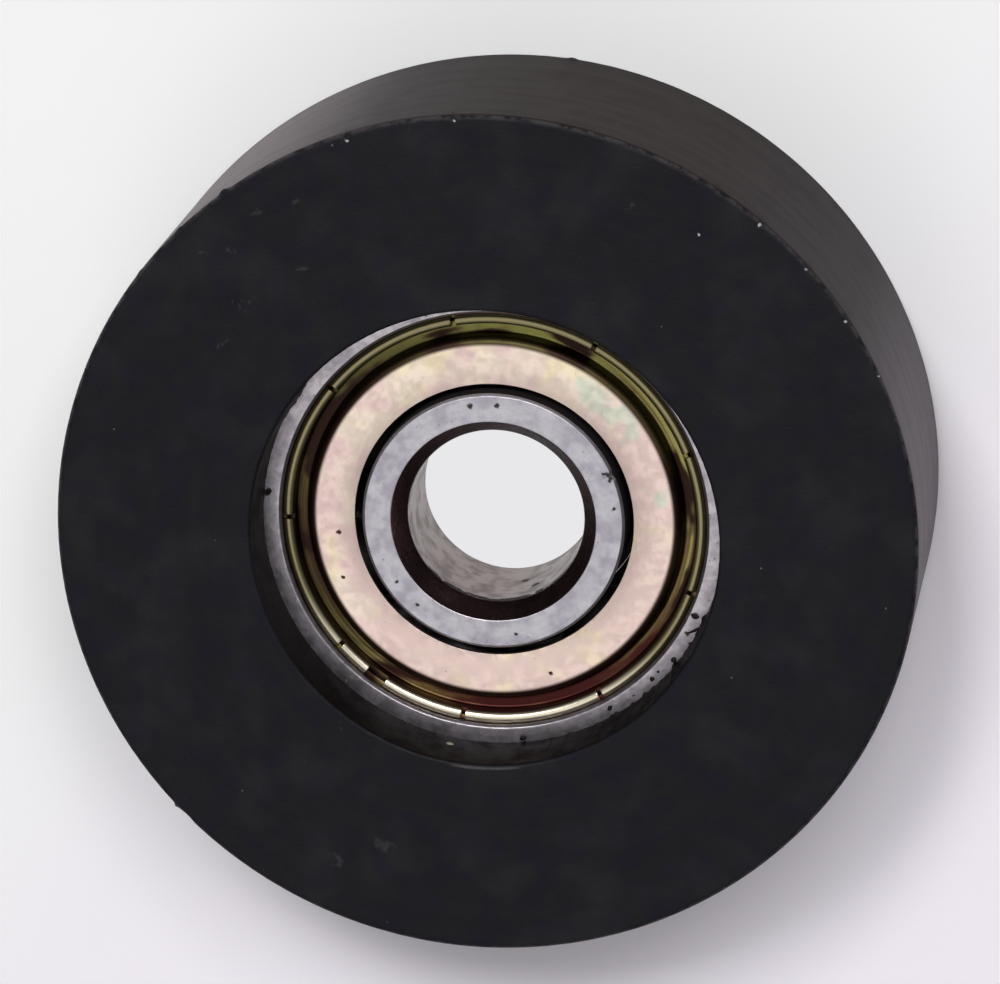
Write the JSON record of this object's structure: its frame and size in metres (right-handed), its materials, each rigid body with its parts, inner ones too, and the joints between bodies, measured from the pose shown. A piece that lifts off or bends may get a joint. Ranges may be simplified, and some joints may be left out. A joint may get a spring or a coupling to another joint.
{
  "type": "plastic bearing wheel",
  "caption": "Plain black plastic wheel moulded round a double-shielded deep-groove ball bearing, with a recess at each side.",
  "frame": {"origin": "middle of the bearing's bore, which is also the middle of the wheel", "axes": "+Z along the bore, out of the front side; +X and +Y across the wheel, with the first ball on +X"},
  "size_m": [0.0386, 0.0386, 0.013],
  "materials": {
    "wheel_plastic": "fine matte moulding, slightly scuffed",
    "ring_steel": "ground bearing steel",
    "plated_shield": "pressed sheet with a yellow iridescent zinc plating",
    "cage_steel": "pressed mild steel, oiled",
    "ball_steel": "polished balls"
  },
  "bodies": {
    "wheel": {"wheel_body": "wheel_plastic", "outer_ring": "ring_steel", "front_shield": "plated_shield", "rear_shield": "plated_shield"},
    "inner": {"inner_ring": "ring_steel"},
    "cage": {"cage_front": "cage_steel", "cage_rear": "cage_steel", "cage_rivets": "cage_steel"},
    "ball_1": {"ball_1": "ball_steel"},
    "ball_2": {"ball_2": "ball_steel"},
    "ball_3": {"ball_3": "ball_steel"},
    "ball_4": {"ball_4": "ball_steel"},
    "ball_5": {"ball_5": "ball_steel"},
    "ball_6": {"ball_6": "ball_steel"},
    "ball_7": {"ball_7": "ball_steel"}
  },
  "joints": [
    {"name": "inner_spin", "type": "hinge", "parent": "wheel", "child": "inner", "pos_m": [0, 0, 0], "axis": [0, 0, 1], "continuous": true},
    {"name": "cage_spin", "type": "hinge", "parent": "wheel", "child": "cage", "pos_m": [0, 0, 0], "axis": [0, 0, 1], "continuous": true},
    {"name": "ball_1_spin", "type": "hinge", "parent": "cage", "child": "ball_1", "pos_m": [0.0075, 0, 0], "axis": [0, 0, 1], "continuous": true},
    {"name": "ball_2_spin", "type": "hinge", "parent": "cage", "child": "ball_2", "pos_m": [0.00468, 0.00586, 0], "axis": [0, 0, 1], "continuous": true},
    {"name": "ball_3_spin", "type": "hinge", "parent": "cage", "child": "ball_3", "pos_m": [-0.00167, 0.00731, 0], "axis": [0, 0, 1], "continuous": true},
    {"name": "ball_4_spin", "type": "hinge", "parent": "cage", "child": "ball_4", "pos_m": [-0.00676, 0.00325, 0], "axis": [0, 0, 1], "continuous": true},
    {"name": "ball_5_spin", "type": "hinge", "parent": "cage", "child": "ball_5", "pos_m": [-0.00676, -0.00325, 0], "axis": [0, 0, 1], "continuous": true},
    {"name": "ball_6_spin", "type": "hinge", "parent": "cage", "child": "ball_6", "pos_m": [-0.00167, -0.00731, 0], "axis": [0, 0, 1], "continuous": true},
    {"name": "ball_7_spin", "type": "hinge", "parent": "cage", "child": "ball_7", "pos_m": [0.00468, -0.00586, 0], "axis": [0, 0, 1], "continuous": true}
  ],
  "couplings": [
    {"joint": "cage_spin", "follows": "inner_spin", "ratio": 0.3677},
    {"joint": "ball_1_spin", "follows": "inner_spin", "ratio": -1.7573},
    {"joint": "ball_2_spin", "follows": "inner_spin", "ratio": -1.7573},
    {"joint": "ball_3_spin", "follows": "inner_spin", "ratio": -1.7573},
    {"joint": "ball_4_spin", "follows": "inner_spin", "ratio": -1.7573},
    {"joint": "ball_5_spin", "follows": "inner_spin", "ratio": -1.7573},
    {"joint": "ball_6_spin", "follows": "inner_spin", "ratio": -1.7573},
    {"joint": "ball_7_spin", "follows": "inner_spin", "ratio": -1.7573}
  ]
}
